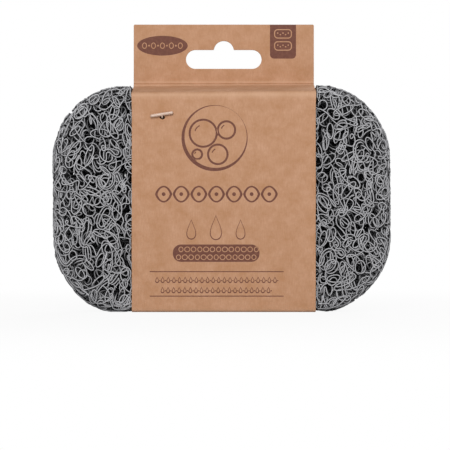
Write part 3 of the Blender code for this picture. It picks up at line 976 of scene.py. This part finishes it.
def card_front(x, z):
    """How far the front panel swells towards the viewer, where the pads press on it."""
    u = (x - SLEEVE_OFFSET) / (SLEEVE_WIDTH / 2)
    v = (z - PANEL_MIDDLE) / PANEL_MIDDLE
    if abs(u) >= 1 or abs(v) >= 1:
        return 0.0
    swell = PANEL_SWELL * (1 - u * u) * (1 - v**4)
    # The ripples are about 30 mm long across the panel and 40 mm up it.
    ripple = PANEL_RIPPLE * math.sin(210 * x + 60 * z + 0.7) * math.sin(150 * z + 1.1) * (1 - v * v)
    return swell + ripple


def card_point(offset, spot):
    """The place of the card at an offset across the strip and a spot along its profile."""
    x, y, z = SLEEVE_LEFT + offset, spot.x, spot.y
    from_edge = min(offset, SLEEVE_WIDTH - offset)
    # The header's corners are rounded.
    if z > HEADER_TOP - 0.0007:
        in_corner = max(HEADER_CORNER_RADIUS - from_edge, 0)
        drop = HEADER_CORNER_RADIUS - math.sqrt(max(HEADER_CORNER_RADIUS**2 - in_corner**2, 0))
        z = min(z, HEADER_TOP - drop)
    if abs(spot.x - SLEEVE_FRONT) < 1e-5:
        y -= card_front(x, z)
    # The top fold spreads a little at its ends.
    near_top_fold = bell(math.hypot(spot.x - SLEEVE_FRONT, spot.y - SHOULDER_FRONT), 0.003)
    spread = TOP_FOLD_SPREAD * near_top_fold * bell(from_edge, 0.004)
    x += math.copysign(spread, offset - SLEEVE_WIDTH / 2)
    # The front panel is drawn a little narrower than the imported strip, and the shoulder tapers to it.
    to_front = min(max((0.0075 - spot.x) / 0.018, 0), 1)
    x -= PANEL_NARROWED * to_front * (x - SLEEVE_OFFSET)
    # The shoulder slopes a little, and is higher at its right end.
    if spot.x < HEADER_FRONT + 0.0003:
        past_shoulder = max(abs(spot.y - 0.0831) - 0.0019, 0)
        z += SHOULDER_SKEW * (x - SLEEVE_OFFSET) * bell(past_shoulder, 0.0007)
    if SLEEVE_FRONT + 0.002 < spot.x < HEADER_FRONT - 0.0012 and spot.y > 0.05:
        for depth, place_x, reach_x, place_y, reach_y in SHOULDER_DENTS:
            z -= depth * bell(x - place_x, reach_x) * bell(spot.x - place_y, reach_y)
    return x, y, z


def card_mesh():
    """The outer side of the folded strip, with its places on the flat blank as UVs and how near each point
    lies to a fold, for the painted highlight along the folds.
    """
    profile = card_profile()
    columns = card_columns()
    lengths = [0.0]
    for a, b in zip(profile, profile[1:]):
        lengths.append(lengths[-1] + (b - a).length)
    shape = bmesh.new()
    flat_place = shape.loops.layers.uv.new("blank")
    painted_highlight = shape.verts.layers.float.new("fold_painted_highlight")
    rows = []
    for spot in profile:
        nearness = max(bell(math.hypot(spot.x - y, spot.y - z), reach) for y, z, reach in PAINTED_FOLD_HIGHLIGHTS)
        row = [shape.verts.new(card_point(offset, spot)) for offset in columns]
        for vert in row:
            vert[painted_highlight] = nearness
        rows.append(row)
    for i in range(len(rows) - 1):
        for j in range(len(columns) - 1):
            places = ((j, i), (j, i + 1), (j + 1, i + 1), (j + 1, i))
            made = shape.faces.new([rows[along][across] for across, along in places])
            for loop, (across, along) in zip(made.loops, places):
                loop[flat_place].uv = (columns[across], lengths[along])
    return mesh_of("card_sleeve", shape)


def card_blank():
    """The folded card with its thickness, and the finish of its cut edges."""
    mesh = card_mesh()
    mesh.shade_smooth()
    card = add_piece("card_sleeve", mesh, KRAFT)
    mesh.materials.append(CUT_EDGE)
    wall = card.modifiers.new("Card thickness", "SOLIDIFY")
    wall.material_offset_rim = 1
    # The two plies of the header lie a hair apart.
    wall.thickness = CARD_THICKNESS - HEADER_PLY_GAP / 2
    wall.offset = -1.0
    wall.use_rim = True
    return plain_mesh(card)


def slot_points():
    """The hang slot's outline: two round ends, and a round hump on the upper side."""
    radius, hump, flare = SLOT_END_RADIUS, SLOT_HUMP_RADIUS, SLOT_FLARE_RADIUS
    end_x = SLOT_WIDTH / 2 - radius
    hump_z, flare_z = radius + SLOT_HUMP_RISE - hump, radius + flare
    flare_x = math.sqrt((hump + flare) ** 2 - (flare_z - hump_z) ** 2)
    lean = math.degrees(math.atan2(flare_z - hump_z, flare_x))
    points = arc_points((end_x, 0), radius, -90, 90, 18)
    points += arc_points((flare_x, flare_z), flare, 270, 180 + lean, 5)[:-1]
    points += arc_points((0, hump_z), hump, lean, 180 - lean, 24)
    points += arc_points((-flare_x, flare_z), flare, -lean, -90, 5)[1:]
    points += arc_points((-end_x, 0), radius, 90, 270, 18)
    return [(x + SLEEVE_OFFSET, z + SLOT_HEIGHT) for x, z in points]


def hole_points():
    """The outline of the hole that the tag pin was shot through the card: round, with a torn edge."""
    points = []
    for k in range(20):
        a = math.tau * k / 20
        x = PIN_HOLE_HALF_WIDTH * math.cos(a) + 0.0001 * math.cos(3 * a)
        z = PIN_HOLE_HALF_HEIGHT * math.sin(a) + 0.00006 * math.sin(2 * a)
        points.append((PIN_X + x, PIN_Z + z))
    return points


def cut_through(piece, outline, from_y, to_y):
    """Cuts a flat outline of (x, z) points through a piece, from one depth to another."""
    shape = bmesh.new()
    rings = [[shape.verts.new((x, y, z)) for x, z in outline] for y in (from_y, to_y)]
    shape.faces.new(rings[0])
    shape.faces.new(reversed(rings[1]))
    for i in range(len(outline)):
        j = (i + 1) % len(outline)
        shape.faces.new((rings[0][j], rings[0][i], rings[1][i], rings[1][j]))
    bmesh.ops.recalc_face_normals(shape, faces=shape.faces)
    tool = add_piece("cutter", mesh_of("cutter", shape), CUT_EDGE)
    step = piece.modifiers.new("Cut", "BOOLEAN")
    step.material_mode = "TRANSFER"
    step.operation = "DIFFERENCE"
    step.solver = "EXACT"
    step.object = tool
    plain_mesh(piece)
    bpy.data.objects.remove(tool)


def make_card():
    """The card sleeve, one folded strip with its hang slot and the pin's two holes."""
    card = card_blank()
    cut_through(card, slot_points(), 0.0085, 0.0125)
    cut_through(card, hole_points(), -0.0125, -0.0098)
    cut_through(card, hole_points(), 0.0098, 0.0125)
    card.data.shade_smooth()
    card.data.set_sharp_from_angle(angle=math.radians(40))
    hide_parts("sleeve_wrap", "header_card")
    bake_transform(card)


# The print


def around(steps):
    """The angles of so many even steps round a circle."""
    return [math.tau * k / steps for k in range(steps)]


def ellipse(x, z, half_x, half_z, steps=48):
    """An ellipse as a closed outline."""
    return [(x + half_x * math.cos(a), z + half_z * math.sin(a)) for a in around(steps)]


def ring(x, z, half_x, half_z, line, steps):
    """An outline drawn with a pen: its two edges."""
    return [
        ellipse(x, z, half_x + line / 2, half_z + line / 2, steps),
        ellipse(x, z, half_x - line / 2, half_z - line / 2, steps),
    ]


def rounded_box(x, z, half_x, half_z, radius, steps=6):
    """A box with rounded corners as a closed outline."""
    in_x, in_z = half_x - radius, half_z - radius
    points = []
    for side_x, side_z, start in ((1, 1, 0), (-1, 1, 90), (-1, -1, 180), (1, -1, 270)):
        centre = (x + side_x * in_x, z + side_z * in_z)
        points += arc_points(centre, radius, start, start + 90, steps)
    return points


def lens(x, z, half_x, half_z):
    """A pointed oval that lies on its side, as a closed outline."""
    turn = np.linspace(0, math.pi, 16)
    up = [(x + half_x * math.cos(a), z + half_z * math.sin(a) ** 1.5) for a in turn]
    return up + [(px, 2 * z - pz) for px, pz in reversed(up[1:-1])]


def drop(x, low, half_x, height, line):
    """A water drop with its point upwards, as a closed outline."""
    points = []
    for a in around(40):
        width = half_x * math.sin(a) * math.sin(a / 2) ** 1.6
        points.append((x + width, low + height * (1 + math.cos(a)) / 2 - line))
    return points


def cut_fine(shape, step):
    """Cuts a flat film along a square grid, so that it can follow the card's swell."""
    for axis in (0, 1):
        places = [vert.co[axis] for vert in shape.verts]
        for k in range(math.ceil(min(places) / step), math.ceil(max(places) / step)):
            spot, across = Vector((0, 0, 0)), Vector((0, 0, 0))
            spot[axis], across[axis] = k * step, 1
            everything = [*shape.verts, *shape.edges, *shape.faces]
            bmesh.ops.bisect_plane(shape, geom=everything, plane_co=spot, plane_no=across)


def film_mesh(name, outlines):
    """Flat outlines, one inside another for a gap, filled as a thin film."""
    curve = bpy.data.curves.new(name, "CURVE")
    curve.dimensions = "2D"
    curve.fill_mode = "BOTH"
    curve.extrude = INK_HALF_THICKNESS
    for outline in outlines:
        spline = curve.splines.new("POLY")
        spline.points.add(len(outline) - 1)
        for spot, (x, z) in zip(spline.points, outline):
            spot.co = (x, z, 0, 1)
        spline.use_cyclic_u = True
    holder = put_in_scene(name, curve)
    mesh = mesh_made_by(holder)
    bpy.data.objects.remove(holder)
    return mesh


def ink_piece(name, outlines, surface, body):
    """Printed shapes, laid on the card's surface as a thin film."""
    mesh = film_mesh(name, outlines)
    shape = bmesh.new()
    shape.from_mesh(mesh)
    bmesh.ops.remove_doubles(shape, verts=shape.verts, dist=1e-7)
    cut_fine(shape, INK_GRID)
    for vert in shape.verts:
        x, z, height = vert.co
        vert.co = (x, surface(x, z) - INK_GAP - height, z)
    bmesh.ops.recalc_face_normals(shape, faces=shape.faces)
    shape.to_mesh(mesh)
    shape.free()
    piece = add_piece(name, mesh, INK)
    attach(piece, body)


def on_panel(x, z):
    """How deep the front panel's face lies."""
    return SLEEVE_FRONT - card_front(x, z)


def on_header(x, z):
    """How deep the header's face lies, the same all over."""
    return HEADER_FRONT


def oval_badge():
    """A printed oval at the header's left, with a row of small rings and dots left bare."""
    middle_x, middle_z, apart, dot = -0.0225, 0.1003, 0.0017, 0.00035
    shapes = [ellipse(middle_x, middle_z, 0.0096, 0.00375)]
    for k in range(-4, 5):
        x = middle_x + k * apart
        if k % 2:
            shapes.append(ellipse(x, middle_z, dot, dot, 12))
        else:
            shapes += ring(x, middle_z, 0.00078, 0.00105, 0.00032, 20)
    return shapes


def count_tab():
    """A printed tab that hangs from the header's top edge, with two small outlined pads on it."""
    left, right, low, corner = 0.01835, 0.02822, 0.0954, 0.0015
    top = HEADER_TOP - 0.00005
    outline = [(right, top), (left, top)]
    outline += arc_points((left + corner, low + corner), corner, 180, 270, 6)
    outline += arc_points((right - corner, low + corner), corner, 270, 360, 6)
    shapes = [outline]
    middle, apart, dot, wave = (left + right) / 2, 0.0010, 0.00028, 0.0003
    for z in (0.1048, 0.1002):
        shapes.append(rounded_box(middle, z, 0.0034, 0.0018, 0.0014))
        shapes.append(rounded_box(middle, z, 0.0030, 0.0014, 0.0010))
        for k in range(-2, 3):
            shapes.append(ellipse(middle + k * apart, z + wave * (-1) ** k, dot, dot, 10))
    return shapes


def bubbles():
    """A ring that is thicker at its lower left, with four bubbles in it that each have a glint."""
    middle_x, middle_z, outer, inner, line, glint = -0.0026, 0.0643, 0.0122, 0.0115, 0.00075, 0.0004
    shapes = [
        ellipse(middle_x, middle_z, outer, outer, 72),
        ellipse(middle_x + 0.0004, middle_z + 0.0005, inner, inner, 72),
    ]
    for x, z, radius in (
        (-0.0042, 0.0018, 0.0050),
        (0.0044, 0.0030, 0.0032),
        (0.0012, -0.0060, 0.0036),
        (-0.0064, -0.0060, 0.0018),
    ):
        centre = (middle_x + x, middle_z + z)
        shapes += ring(*centre, radius, radius, line, 40)
        there = arc_points(centre, radius * 0.66, 115, 165, 6)
        back = arc_points(centre, radius * 0.66 - glint, 165, 115, 6)
        shapes.append(there + back)
    return shapes


def lens_chain():
    """A chain of seven pointed ovals across the panel, each with a dot in it."""
    z, half, count, dot = 0.0436, 0.00325, 7, 0.0007
    shapes = []
    for k in range(count):
        x = -0.0019 + (k - (count - 1) / 2) * 2 * half
        shapes.append(lens(x, z, half - 0.0001, 0.0031))
        shapes.append(lens(x, z, half - 0.0010, 0.00252))
        shapes.append(ellipse(x, z, dot, dot, 20))
    return shapes


def drops_on_pad():
    """A printed mat with two rows of small rings, and three drops above it."""
    shapes = [rounded_box(-0.0020, 0.0218, 0.0160, 0.0032, 0.0030, 8)]
    for i in range(13):
        for j in range(2):
            x, z = -0.0159 + i * 0.00232 + 0.0009 * j, 0.0203 + j * 0.0029
            # The rings are of three widths in turn.
            half_x = 0.00078 + 0.00010 * ((i * 5 + j * 3) % 3)
            shapes += ring(x, z, half_x, 0.00088, 0.0003, 20)
    for x, low, size in ((-0.0112, 0.0270, 0.8), (-0.0021, 0.0268, 1.0), (0.0070, 0.0270, 0.8)):
        for line in (0.00019, -0.00019):
            shapes.append(drop(x, low, 0.0030 * size + line, 0.0090 * size + 2 * line, line))
    return shapes


def thin_rules():
    """Two thin rules across the lower panel."""
    half_line = 0.00016
    along = np.linspace(-0.02655, 0.0229, 30)
    shapes = []
    for z in (0.01499, 0.00594):
        over = [(x, z + half_line) for x in along]
        under = [(x, z - half_line) for x in reversed(along)]
        shapes.append(over + under)
    return shapes


def small_drops():
    """Two rows of small outlined drops and dots between the rules."""
    line_half, dot = 0.00020, 0.00024
    shapes = []
    for low, left, right, count in ((0.01098, -0.0246, 0.0210, 22), (0.00720, -0.0226, 0.0186, 20)):
        half = (right - left) / count / 2
        for k in range(count):
            x = left + (2 * k + 1) * half
            for line in (line_half, -line_half):
                shapes.append(drop(x - 0.25 * half, low, 0.00078 + line, 0.0020 + 2 * line, line))
            shapes.append(ellipse(x + 0.75 * half, low + 0.0007, dot, dot, 10))
    return shapes


def make_print():
    """The printed ornament of the header and of the front panel."""
    for name, shapes, surface, body in (
        ("oval_badge_print", oval_badge(), on_header, "header"),
        ("count_tab_print", count_tab(), on_header, "header"),
        ("bubbles_print", bubbles(), on_panel, "pack"),
        ("lens_chain_print", lens_chain(), on_panel, "pack"),
        ("drops_on_pad_print", drops_on_pad(), on_panel, "pack"),
        ("thin_rules_print", thin_rules(), on_panel, "pack"),
        ("small_drops_print", small_drops(), on_panel, "pack"),
    ):
        ink_piece(name, shapes, surface, body)


# The tag pin


def swept(name, path, radii, sides=20):
    """A round rod along a path of points, with its own radius at each, as a closed mesh."""
    shape = bmesh.new()
    rings = []
    for i, (spot, radius) in enumerate(zip(path, radii)):
        ahead = path[min(i + 1, len(path) - 1)] - path[max(i - 1, 0)]
        turn = Vector((0, 0, 1)).rotation_difference(ahead)
        outline = [Vector((math.cos(a), math.sin(a), 0)) * radius for a in around(sides)]
        rings.append([shape.verts.new(spot + turn @ v) for v in outline])
    for a, b in zip(rings, rings[1:]):
        for k in range(sides):
            m = (k + 1) % sides
            shape.faces.new((a[k], b[k], b[m], a[m]))
    shape.faces.new(rings[0])
    shape.faces.new(reversed(rings[-1]))
    bmesh.ops.recalc_face_normals(shape, faces=shape.faces)
    return add_piece(name, mesh_of(name, shape), NYLON)


def bar(name, length, y, z):
    """A moulded bar along X with rounded ends and two faint waists."""
    half, radius = length / 2, BAR_DIAMETER / 2
    path, radii = [], []
    for turn in np.linspace(-math.pi / 2, math.pi / 2, 41):
        x = half * math.sin(turn)
        end = max(abs(x) - (half - radius), 0) / radius
        waist = 1 - 0.06 * bell(abs(x) - half * 0.55, 0.0012)
        path.append(Vector((x, y, z)))
        radii.append(radius * math.sqrt(max(1 - end * end, 0.001)) * waist)
    return swept(name, path, radii)


def pin_neck():
    """The neck under the front bar, its bend, and the filament that runs through the pack."""
    front = -BAR_FROM_MIDDLE
    path = [Vector((0, front, BAR_RISE - down)) for down in (0.0, 0.0002, 0.0004, 0.0006)]
    radii = [0.00055, 0.0005, 0.00042, 0.00036]
    for turn in np.linspace(0.1, math.pi / 2, 9):
        y = front + NECK_BEND_RADIUS * (1 - math.cos(turn))
        path.append(Vector((0, y, NECK_BEND_RADIUS - NECK_BEND_RADIUS * math.sin(turn))))
        radii.append(NECK_RADIUS)
    for y in np.linspace(front + 0.0012, BAR_FROM_MIDDLE, 24):
        path.append(Vector((0, y, 0)))
        radii.append(PIN_FILAMENT_RADIUS)
    return swept("neck", path, radii, 16)


def make_pin():
    """The tag pin: a bar on a bent neck in front, the filament through the pack, and the bar behind."""
    pin = bar("nylon_tag_pin", BAR_LENGTH, -BAR_FROM_MIDDLE, BAR_RISE)
    others = [pin_neck(), bar("rear_bar", REAR_BAR_LENGTH, BAR_FROM_MIDDLE, 0)]
    for other in others:
        step = pin.modifiers.new("Join", "BOOLEAN")
        step.operation = "UNION"
        step.solver = "EXACT"
        step.object = other
    melt = pin.modifiers.new("One moulding", "REMESH")
    melt.mode = "VOXEL"
    melt.voxel_size = 0.00009
    melt.use_smooth_shade = True
    soften = pin.modifiers.new("Soft corners", "SMOOTH")
    soften.factor = 0.5
    soften.iterations = 4
    plain_mesh(pin)
    for other in others:
        bpy.data.objects.remove(other)
    turn = math.radians(BAR_TILT_DEG)
    c, s = math.cos(turn), math.sin(turn)
    for vert in pin.data.vertices:
        x, y, z = vert.co
        vert.co = (PIN_X + x * c - z * s, y, PIN_Z + x * s + z * c)
    pin.data.materials.clear()
    pin.data.materials.append(NYLON)
    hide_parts("tag_pin")
    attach(pin, "tag")


# Camera, table and light


def make_camera():
    """A long lens straight in front of the pack."""
    data = bpy.data.cameras.new("camera")
    data.sensor_width = 36.0
    data.lens = CAMERA_LENS_MM
    data.clip_start = 0.01
    camera = put_in_scene("camera", data)
    camera.location = (CAMERA_X, SLEEVE_FRONT - CAMERA_AWAY, CAMERA_HEIGHT)
    camera.rotation_euler = (math.pi / 2, 0, 0)
    bpy.context.scene.camera = camera


def white_table():
    """Matt white lacquer that the camera sees go over into the white room."""
    made, tree, shader = new_material(
        "matt_white_table", {"Base Color": linear("#C6C6C6"), "Roughness": 0.9}
    )
    glow = add_node(tree, "ShaderNodeEmission", {"Color": WHITE, "Strength": 1.0})
    rays = add_node(tree, "ShaderNodeLightPath")
    # The table is nearly as white as the room at 0.05 m from the pack's middle, and as white at 0.32 m.
    place = add_node(tree, "ShaderNodeTexCoord").outputs["Object"]
    far = add_node(tree, "ShaderNodeVectorMath", {0: place}, operation="LENGTH")
    white = add_node(
        tree,
        "ShaderNodeMapRange",
        {"Value": far.outputs["Value"], "From Min": 0.05, "From Max": 0.32, "To Min": 0.92},
        interpolation_type="SMOOTHSTEP",
    )
    seen = add_node(
        tree,
        "ShaderNodeMath",
        {0: rays.outputs["Is Camera Ray"], 1: white.outputs["Result"]},
        operation="MULTIPLY",
    )
    mixed = add_node(
        tree,
        "ShaderNodeMixShader",
        {0: seen.outputs["Value"], 1: shader.outputs["BSDF"], 2: glow.outputs["Emission"]},
    )
    tree.links.new(mixed.outputs["Shader"], tree.nodes["Material Output"].inputs["Surface"])
    return made


def make_floor():
    """A plain white table top."""
    mesh = bpy.data.meshes.new("floor")
    corners = [(x * TABLE_REACH, y * TABLE_REACH, 0) for x, y in ((-1, -1), (1, -1), (1, 1), (-1, 1))]
    mesh.from_pydata(corners, [], [(0, 1, 2, 3)])
    floor = add_piece("floor", mesh, white_table())


def make_room():
    """A white room that lights softly, and looks white to the camera, in gloss and through nylon."""
    world = bpy.data.worlds.new("white_room")
    bpy.context.scene.world = world
    world.use_nodes = True
    tree = world.node_tree
    room = tree.nodes["Background"]
    room.inputs["Color"].default_value = WHITE
    room.inputs["Strength"].default_value = ROOM_LIGHT
    seen = add_node(tree, "ShaderNodeBackground", {"Color": WHITE, "Strength": 1.0})
    rays = add_node(tree, "ShaderNodeLightPath").outputs
    looks = rays["Is Camera Ray"]
    for other in ("Is Glossy Ray", "Is Transmission Ray"):
        either = add_node(tree, "ShaderNodeMath", {0: looks, 1: rays[other]}, operation="MAXIMUM")
        looks = either.outputs["Value"]
    mixed = add_node(
        tree,
        "ShaderNodeMixShader",
        {0: looks, 1: room.outputs["Background"], 2: seen.outputs["Background"]},
    )
    tree.links.new(mixed.outputs["Shader"], tree.nodes["World Output"].inputs["Surface"])


def make_light():
    """Plain soft light: a white room, a large panel in front and above, and a weaker one behind."""
    make_room()
    for name, watts, place in (
        ("front_panel", 8.2, (-0.09, -0.95, 0.52)),
        ("back_panel", 6.2, (0.30, 0.90, 0.42)),
    ):
        panel = bpy.data.lights.new(name, "AREA")
        panel.shape = "RECTANGLE"
        panel.size, panel.size_y = LAMP_WIDTH, LAMP_HEIGHT
        panel.energy = watts
        lamp = put_in_scene(name, panel)
        lamp.location = place
        aim = LAMPS_AIM_AT - lamp.location
        lamp.rotation_euler = aim.to_track_quat("-Z", "Y").to_euler()


make_camera()
make_floor()
make_light()
make_pad("front_pad", -PAD_FROM_MIDDLE, FRONT_PAD_SEED, FRONT_PAD_TILT_DEG)
make_pad("rear_pad", PAD_FROM_MIDDLE, REAR_PAD_SEED, 0)
make_card()
make_print()
make_pin()

bpy.context.scene.view_settings.view_transform = "Standard"
